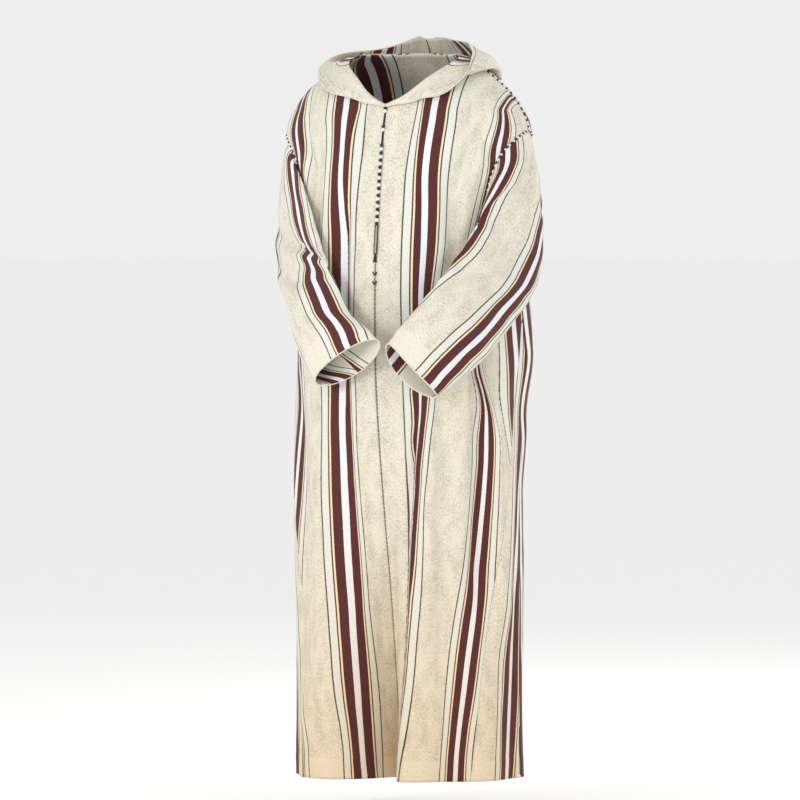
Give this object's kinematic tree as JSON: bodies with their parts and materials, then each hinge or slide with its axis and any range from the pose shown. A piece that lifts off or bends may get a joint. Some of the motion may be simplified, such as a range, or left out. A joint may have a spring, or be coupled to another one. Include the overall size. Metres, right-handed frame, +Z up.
{
  "type": "hooded robe",
  "caption": "Long striped robe with a pointed hood worn down, wide straight sleeves, a knotted front seam and side vents, in its worn form.",
  "frame": {"origin": "middle of the wearer's shoulder line, where the robe hangs", "axes": "+Z up, the front of the robe towards -Y, the wearer's left towards +X"},
  "size_m": [0.5437, 0.4884, 1.4333],
  "materials": {
    "striped_cloth": "matte woven cloth, cream with maroon, white and gold stripes",
    "pale_edging": "matte rolled edging",
    "knot_thread": "matte knotted thread, dark and pale",
    "dark_cord": "matte twisted cord"
  },
  "bodies": {
    "root": {"front_left": "striped_cloth", "front_right": "striped_cloth", "back": "striped_cloth", "gore_left": "striped_cloth", "gore_right": "striped_cloth", "sleeve_left": "striped_cloth", "sleeve_right": "striped_cloth", "hood": "striped_cloth", "hood_edge": "pale_edging", "knot_row": "knot_thread", "loop_cord_left": "dark_cord", "loop_cord_right": "dark_cord", "tassel": "dark_cord"}
  },
  "joints": []
}
